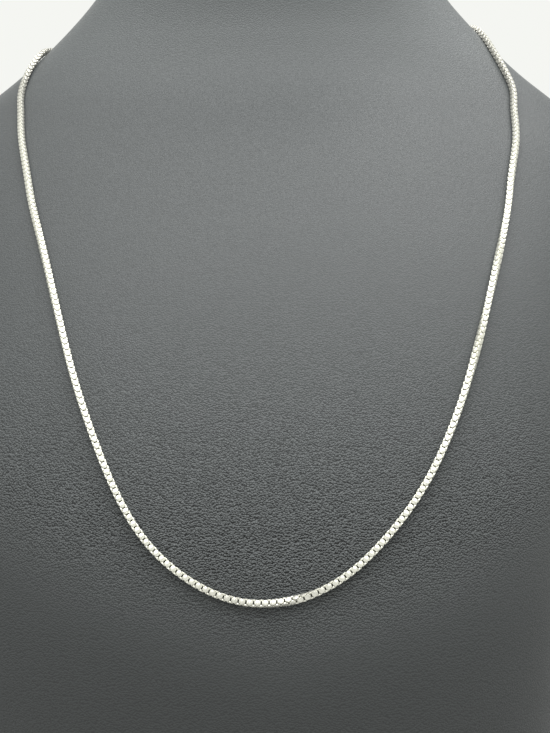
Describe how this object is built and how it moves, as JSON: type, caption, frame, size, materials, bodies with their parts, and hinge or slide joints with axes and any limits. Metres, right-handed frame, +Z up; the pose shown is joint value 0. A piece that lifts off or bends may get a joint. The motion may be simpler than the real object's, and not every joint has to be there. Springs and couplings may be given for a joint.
{
  "type": "box chain on a neck bust",
  "caption": "Silver box chain necklace, closed in a loop and hung round a plain dark leather-covered neck bust with a flat base.",
  "frame": {"origin": "on the table, under the middle of the bust's box", "axes": "+Z up, the chest faces -Y, +X towards the shoulder on the right of the picture"},
  "size_m": [0.1946, 0.1531, 0.24],
  "materials": {
    "bust_leather": "matt, fine pebble grain",
    "silver": "bright silver",
    "clasp_silver": "bright silver"
  },
  "bodies": {
    "root": {"neck_bust": "bust_leather", "chain_left": "silver", "chain_right": "silver", "clasp": "clasp_silver"}
  },
  "joints": []
}
